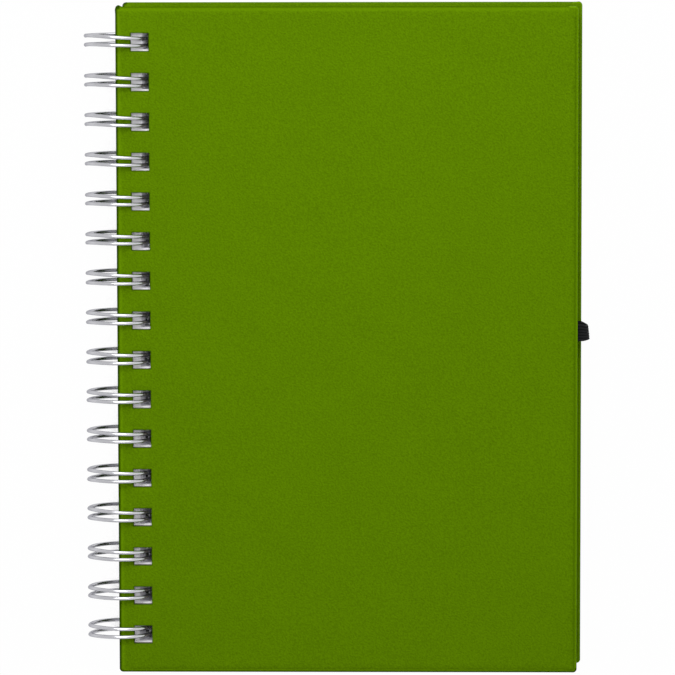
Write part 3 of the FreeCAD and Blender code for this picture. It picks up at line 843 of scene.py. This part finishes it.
def binding_wire():
    """One wire bent into twin loops: each strand is an arc round the ring's axis, from the link under the
    leaves, beneath the spine and over the top to the loop's tip, and half and quarter circles join them.
    The strands spread from tip to spine. Each loop leans at the spine, bows by a crown between tip and
    spine, and stands off at its tip by a slow wave."""
    low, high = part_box("wire_binding")
    axis_y = (low.y + high.y) / 2 / MM
    axis_z = RING_RADIUS + WIRE_DIAMETER / 2
    axis_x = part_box("page_block")[0].x / MM - PAGE_SETBACK
    half = STRAND_SPACING / 2
    height = -PAGE_THICKNESS / 2 + SEAM_GAP / 2
    link = math.asin(height / math.hypot(RING_RADIUS, LINK_BEND))
    foot = link - math.atan(LINK_BEND / RING_RADIUS)
    tip = link + (WIRE_DIAMETER + TIP_CLEARANCE + half) / RING_RADIUS - 2 * math.pi
    angles = np.linspace(foot, tip, 96)
    share = np.linspace(0, 1, len(angles))
    from_tip = np.clip((angles - tip) / (-math.pi - tip), 0, 1)
    side = half + STRAND_SPREAD / 2 * smooth(from_tip) ** 1.3
    crown = LOOP_CROWN * np.sin(math.pi * from_tip**2.2)
    hump = np.sin(math.pi * share)
    chance = np.random.default_rng(5)
    out_foot, out_tip = radial(np.array(foot)), radial(np.array(tip))
    to_link = np.array([-math.sin(foot), 0, math.cos(foot)])
    to_tip = np.array([math.sin(tip), 0, -math.cos(tip)])
    turns = np.linspace(0, math.pi, 13)[1:-1]
    bends = np.linspace(0, math.pi / 2, 7)[1:]
    across = np.array([0, 1.0, 0])
    side_bend = LINK_BEND * (1 - np.cos(bends))[:, None] * across
    down_bend = LINK_BEND * np.sin(bends)[:, None] * to_link
    path, normals = [], []
    for i in range(HOLE_COUNT):
        place = i - ROW_MIDDLE
        middle = HOLE_PITCH * place
        sag = LOOP_SAG * math.sin(math.pi * (i + 0.5) / HOLE_COUNT)
        sway = chance.uniform(-LOOP_SWAY, LOOP_SWAY) + LOOP_LEAN - sag
        pinch = chance.uniform(-LOOP_PINCH, LOOP_PINCH)
        wave = WAVE_HEIGHT * math.sin(2 * math.pi * (WAVE_START - i) / WAVE_RINGS)
        wave += WAVE_SLOPE * place + WAVE_SHIFT + chance.uniform(-WAVE_CHANCE, WAVE_CHANCE)
        wave = min(max(wave, WAVE_LIMITS[0]), WAVE_LIMITS[1])
        lean = wave * (1 - smooth(from_tip)) + sway * hump + crown
        strand = radial(angles) * RING_RADIUS
        first = strand + across * (middle - side + lean - pinch * hump)[:, None]
        last = (strand + across * (middle + side + lean + pinch * hump)[:, None])[::-1]
        centre = out_tip * RING_RADIUS + across * (middle + wave)
        bow = centre + half * (-np.cos(turns)[:, None] * across + np.sin(turns)[:, None] * to_tip)
        leave = last[-1] + side_bend + down_bend
        enter = first[0] - side_bend + down_bend
        path += [enter[::-1], first, bow, last, leave]
        normals += [
            np.tile(out_foot, (len(enter), 1)),
            radial(angles),
            np.tile(out_tip, (len(bow), 1)),
            radial(angles)[::-1],
            np.tile(out_foot, (len(leave), 1)),
        ]
    path, normals = np.concatenate(path), np.concatenate(normals)
    stub = across * STUB_LENGTH
    path = np.concatenate([[path[0] - stub], path, [path[-1] + stub]])
    normals = np.concatenate([normals[:1], normals, normals[-1:]])
    path += np.array([axis_x, axis_y, axis_z])
    points, faces, run = tube(path, normals, WIRE_DIAMETER / 2, WIRE_SIDES)
    piece = make_piece("twin_loop_wire", points, faces, BRIGHT_WIRE, attributes={"run": run})
    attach(piece, "book")
    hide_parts("wire_binding")
    return piece


def rounded_loop(width, height, radius, step):
    """Points once round a rectangle with round corners, from its lower left, with the outward direction at
    each."""
    far_x, far_z = width - radius, height - radius
    corners = [(far_x, radius, -90), (far_x, far_z, 0), (radius, far_z, 90), (radius, radius, 180)]
    points, outward = [], []
    bend_count = max(6, math.ceil(radius * math.pi / 2 / step))
    for i, (x, z, start) in enumerate(corners):
        turn = np.radians(np.linspace(start, start + 90, bend_count))
        arc = np.stack([x + radius * np.cos(turn), z + radius * np.sin(turn)], -1)
        points.append(arc)
        outward.append(np.stack([np.cos(turn), np.sin(turn)], -1))
        nx, nz, after = corners[(i + 1) % 4]
        angle = math.radians(after)
        goal = np.array([nx + radius * math.cos(angle), nz + radius * math.sin(angle)])
        count = max(2, math.ceil(np.linalg.norm(goal - arc[-1]) / step))
        share = np.linspace(0, 1, count + 1)[1:-1, None]
        points.append(arc[-1] + (goal - arc[-1]) * share)
        outward.append(np.tile(outward[-1][-1], (count - 1, 1)))
    return np.concatenate(points), np.concatenate(outward)


def elastic_section(width, thickness, ribs, groove):
    """Once round the band's section: across one face and back across the other, each with ribs whose crests
    follow the square root of |cos|, and rounded sides. Returns the place across, the place through, and the
    crest share."""
    half = width / 2
    v = np.linspace(-1, 1, ribs * 8 + 1)[1:-1]
    crest = np.sqrt(np.abs(np.cos(np.pi * (v + 1) * ribs / 2 + np.pi / 2)))
    side = np.sqrt(np.maximum(1 - np.abs(v) ** 12, 0))
    face = (thickness / 2 - groove * (1 - crest)) * side
    across = np.concatenate([[-half], v * half, [half], v[::-1] * half])
    through = np.concatenate([[0], face, [0], -face[::-1]])
    return across, through, np.concatenate([[0], crest, [0], crest[::-1]])


def along_band(length, across, crest):
    """The weave's values at a band's points: the place along it and across it, and the crest share."""
    return np.stack([np.repeat(length, len(across)), *np.tile([across, crest], len(length))], -1)


def elastic_loop():
    """The pen loop: the ribbed section carried once round a loop with soft corners. It narrows towards its
    outer bend by a smooth step and leans a little, and its flat tongue runs in behind the lining."""
    cover_low, cover_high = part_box("back_wrap")
    edge_x = cover_high.x / MM
    middle_y = (cover_low.y + cover_high.y) / 2 / MM + LOOP_RISE
    base_z = cover_high.z / MM
    half_band = ELASTIC_THICKNESS / 2
    width, height = LOOP_INWARD + LOOP_REACH - ELASTIC_THICKNESS, LOOP_HEIGHT - ELASTIC_THICKNESS
    line, outward = rounded_loop(width, height, LOOP_BEND - half_band, 0.12)
    length = np.concatenate([[0], np.cumsum(np.linalg.norm(np.diff(line, axis=0), axis=1))])
    across, through, crest = elastic_section(BAND_WIDTH, ELASTIC_THICKNESS, RIB_COUNT, RIB_GROOVE)
    x = line[:, 0] - LOOP_INWARD + half_band
    z = line[:, 1] + half_band
    pull = np.clip((x + 0.3) / (LOOP_REACH + 0.3), 0, 1)
    narrow = 1 - BAND_NARROWING * smooth(pull)
    thread = THREAD_DEPTH * np.sin(length * 2 * np.pi / THREAD_STEP)
    depth = through[None, :] * (1 + thread / half_band)[:, None]
    slant = BAND_SLANT * pull[:, None] * (across[None, :] / BAND_WIDTH + 0.5)
    band_x = edge_x + x[:, None] + outward[:, :1] * depth - slant
    band_y = middle_y + BAND_SHIFT * (1 - pull[:, None]) + across[None, :] * narrow[:, None]
    band_z = base_z + z[:, None] + outward[:, 1:] * depth
    points = np.stack([band_x, band_y, band_z], -1).reshape(-1, 3)
    weave = along_band(length, across, crest)
    walls = lattice(len(line), len(across), loop_rows=True, loop_columns=True)[:, ::-1]
    # the tongue: the same ribs, pressed flat, from behind the lining to the cover's edge
    t_across, t_through, t_crest = elastic_section(LOOP_WIDTH, SKIN_THICKNESS, RIB_COUNT, TONGUE_GROOVE)
    t_x = np.linspace(edge_x - TONGUE_LENGTH, edge_x - TONGUE_START, 90)
    swell = np.sqrt(np.clip(np.minimum(t_x - t_x[0], t_x[-1] - t_x) / 0.2, 0, 1))
    t_y, t_z = middle_y + t_across, t_through * np.maximum(swell, 0.05)[:, None]
    tongue = np.broadcast_arrays(t_x[:, None], t_y, base_z - SKIN_THICKNESS / 2 + t_z)
    t_weave = along_band(t_x, t_across, t_crest)
    shift, section = len(points), len(t_across)
    end_shift = shift + (len(t_x) - 1) * section
    t_walls = lattice(len(t_x), section, loop_columns=True) + shift
    # each end of the tongue is closed straight across, point to facing point
    pairs = np.arange(1, section // 2 - 1)
    closing = np.stack([pairs, pairs + 1, section - pairs - 1, section - pairs], -1)
    tips = np.array([[0, 1, section - 1], [section // 2 - 1, section // 2, section // 2 + 1]])
    ends = [closing + shift, closing[:, ::-1] + end_shift, tips + shift, tips[:, ::-1] + end_shift]
    points = np.concatenate([points, np.stack(tongue, -1).reshape(-1, 3)])
    threads = {"weave": np.concatenate([weave, t_weave])}
    piece = make_piece("ribbed_pen_loop", points, [walls, t_walls, *ends], WOVEN_ELASTIC, attributes=threads)
    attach(piece, "back_cover")
    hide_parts("pen_loop")
    return piece


cover_skin("front_skin", "front_wrap", "front_cover", ROW_RISE, FRONT_EARS, False)
cover_skin("back_skin", "back_wrap", "back_cover", -ROW_RISE, BACK_EARS, True)
leaf_stack()
binding_wire()
elastic_loop()

for node in ("front_board", "back_board", "front_lining", "back_lining"):
    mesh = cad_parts[node].data
    mesh.materials.clear()
    mesh.materials.append(GREYBOARD if node.endswith("board") else LINING_PAPER)


# Floor, light and camera


def seen_itself(tree):
    """Whether a ray shows the thing itself, from the camera, a mirror or through glass; and if from a
    mirror."""
    rays = tree.nodes.new("ShaderNodeLightPath").outputs
    seen = math_node(tree, "MAXIMUM", rays["Is Camera Ray"], rays["Is Glossy Ray"])
    return math_node(tree, "MAXIMUM", seen, rays["Is Transmission Ray"]), rays["Is Glossy Ray"]


def make_floor():
    """A pale floor through the lowest points of the rings and the lower edge of the back cover, which it
    rests on."""
    wire_low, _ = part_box("wire_binding")
    cover_low, cover_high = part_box("back_wrap")
    ring_x = wire_low.x + RING_RADIUS * MM + WIRE_DIAMETER / 2 * MM
    slope = cover_low.z / (cover_high.x - ring_x)
    lines = np.linspace(-FLOOR_SIZE / 2, FLOOR_SIZE / 2, 9)
    x, y = (part.ravel() for part in np.meshgrid(lines, lines, indexing="ij"))
    points = np.stack([x, y, (x - ring_x) * slope - FLOOR_DROP], -1) / MM
    item, tree, shader, place = new_material("floor_paper", Roughness=0.9, Specular_IOR_Level=0.1)
    tone = toned(tree, place, FLOOR_WHITE, (40.0, 0.004), (2.0, 0.004))
    tree.links.new(tone["Colour"], shader.inputs["Base Color"])
    seen, _ = seen_itself(tree)
    glow = add(tree, "ShaderNodeEmission", {"Color": (1, 1, 1, 1), "Strength": 1.0})
    # the floor's own white leaves out what lies closed in beneath the book, which stays in shadow
    open_part = add(tree, "ShaderNodeAmbientOcclusion", {"Distance": SHADE_REACH}, samples=8).outputs["AO"]
    open_share = clamped(tree, math_node(tree, "MULTIPLY_ADD", open_part, *SHADE_RAMP))
    share = times(tree, seen, times(tree, open_share, FLOOR_GLOW))
    both = add(tree, "ShaderNodeMixShader", {0: share, 1: shader.outputs[0], 2: glow.outputs[0]})
    output = next(one for one in tree.nodes if one.bl_idname == "ShaderNodeOutputMaterial")
    tree.links.new(both.outputs[0], output.inputs["Surface"])
    floor = make_piece("floor", points, [lattice(len(lines), len(lines))], item)


def make_lamp(name, place, size, power, in_reflections=True):
    """A square lamp that looks at the notebook's middle, its place and size in metres, shown in reflections
    or not."""
    data = bpy.data.lights.new(name, "AREA")
    data.shape = "SQUARE"
    data.size = size
    data.energy = power
    lamp = bpy.data.objects.new(name, data)
    lamp.location = place
    lamp.rotation_mode = "QUATERNION"
    lamp.rotation_quaternion = (-Vector(place)).to_track_quat("-Z", "Y")
    lamp.visible_camera = False
    lamp.visible_glossy = in_reflections
    bpy.context.scene.collection.objects.link(lamp)


def make_world():
    """An even pale room: soft light on the object, white where the camera sees it, and for reflections
    darker on the spine's side than on the fore edge's."""
    world = bpy.data.worlds.new("room")
    world.use_nodes = True
    tree = world.node_tree
    tree.nodes.clear()
    seen, mirrored = seen_itself(tree)
    towards = parts_of(tree, tree.nodes.new("ShaderNodeTexCoord").outputs["Generated"])
    fore_side = clamped(tree, math_node(tree, "MULTIPLY_ADD", towards["X"], *REFLECTION_RAMP))
    most = 1.0 - ROOM_REFLECTION
    dim = times(tree, mirrored, math_node(tree, "MULTIPLY_ADD", fore_side, -most, most))
    white = math_node(tree, "MULTIPLY_ADD", seen, 1.0 - ROOM_LIGHT, ROOM_LIGHT)
    strength = math_node(tree, "SUBTRACT", white, dim)
    sky = add(tree, "ShaderNodeBackground", {"Color": (1, 1, 1, 1), "Strength": strength})
    output = tree.nodes.new("ShaderNodeOutputWorld")
    tree.links.new(sky.outputs[0], output.inputs["Surface"])
    bpy.context.scene.world = world


make_floor()
make_lamp("overhead_box", (-0.03, 0.27, 0.75), 0.6, 4.0)
make_lamp("top_lamp", (0.08, 0.42, 0.38), 0.5, 1.0)
make_lamp("left_lamp", (-0.95, 0.05, 0.62), 0.8, 2.4, in_reflections=False)
make_world()

# The camera's place in metres and its turn in degrees, set so that holes and edges fall as in the photograph
CAMERA_PLACE = (0.0314, 0.1589, 1.4999)
CAMERA_TURN = (-6.085, 1.196, -0.118)
CAMERA_LENS = 248.76

camera_data = bpy.data.cameras.new("camera")
camera_data.lens = CAMERA_LENS
camera_data.sensor_width = 36.0
camera_data.clip_start = 0.05
camera_data.clip_end = 20.0
camera = bpy.data.objects.new("camera", camera_data)
camera.location = CAMERA_PLACE
camera.rotation_euler = [math.radians(angle) for angle in CAMERA_TURN]
bpy.context.scene.collection.objects.link(camera)
bpy.context.scene.camera = camera

bpy.context.scene.view_settings.view_transform = "Standard"

bpy.context.view_layer.update()
